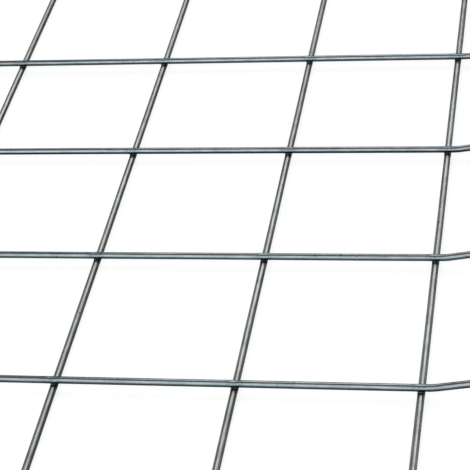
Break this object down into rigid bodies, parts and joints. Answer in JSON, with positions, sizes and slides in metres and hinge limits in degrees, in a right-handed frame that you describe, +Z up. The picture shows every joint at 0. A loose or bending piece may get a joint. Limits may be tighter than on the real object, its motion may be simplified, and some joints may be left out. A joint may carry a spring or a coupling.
{
  "type": "welded wire mesh panel",
  "caption": "Flat panel of smooth round steel wires crossing in square cells and resistance welded at every crossing, with short wire ends past the edge welds.",
  "frame": {"origin": "middle of the panel's outline, at the height of the floor that it lies on", "axes": "+Y along the line wires, the panel's length; +X along the cross wires, towards the side with the kinked ends; +Z up, from the line wires to the cross wires"},
  "size_m": [0.5, 1, 0.0156],
  "materials": {
    "galvanised_steel_wire": "bright zinc-coated drawn wire with faint lengthwise streaks, slightly duller and darker round the welds"
  },
  "bodies": {
    "root": {"mesh_panel": "galvanised_steel_wire"}
  },
  "joints": []
}
